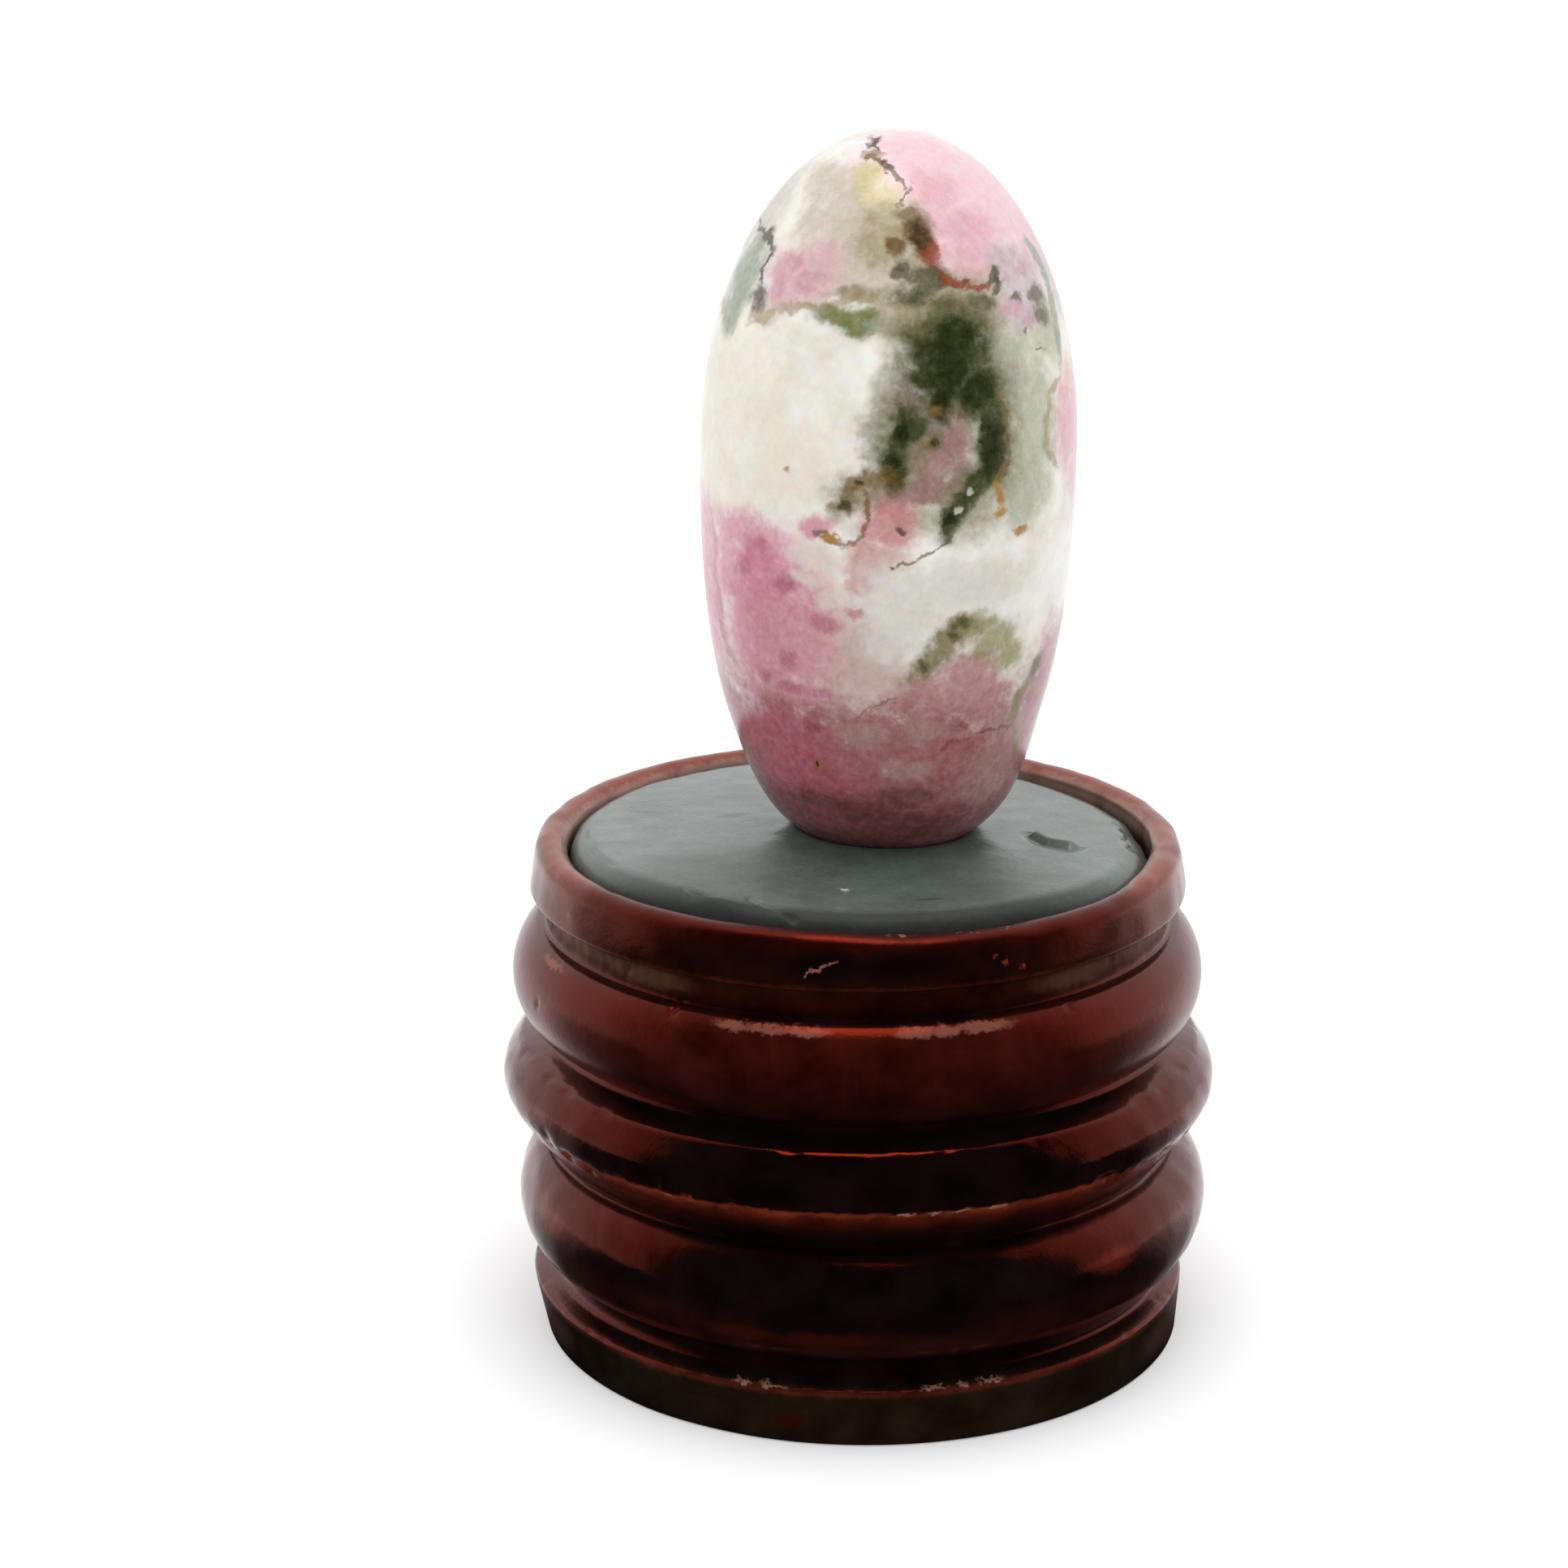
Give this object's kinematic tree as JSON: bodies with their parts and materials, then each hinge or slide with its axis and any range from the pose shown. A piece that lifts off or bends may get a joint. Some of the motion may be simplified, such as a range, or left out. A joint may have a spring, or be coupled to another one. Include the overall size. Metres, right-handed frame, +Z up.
{
  "type": "lingam stone on stand",
  "caption": "Polished egg-shaped lingam stone that stands on end, pressed into a putty pad in the recess of a turned wooden stand. The stone and the pad lift off.",
  "frame": {"origin": "centre of the stand's flat resting face, on the stand's turning axis", "axes": "+Z up along the stand's turning axis, -Y towards the viewer of the picture, +X to the viewer's right"},
  "size_m": [0.0466, 0.0466, 0.0788],
  "materials": {
    "lacquered_wood": "turned wood under glossy red-brown lacquer",
    "putty": "matte grey putty, pressed by hand",
    "polished_stone": "polished, mottled white, pink and olive"
  },
  "bodies": {
    "stand": {"turned_stand": "lacquered_wood"},
    "pad": {"putty_pad": "putty"},
    "stone": {"lingam_stone": "polished_stone"}
  },
  "joints": [
    {"name": "pad_lift", "type": "slide", "parent": "stand", "child": "pad", "axis": [0, 0, 1], "range_m": [0, 0.012]},
    {"name": "stone_lift", "type": "slide", "parent": "pad", "child": "stone", "axis": [0, 0, 1], "range_m": [0, 0.04]}
  ]
}
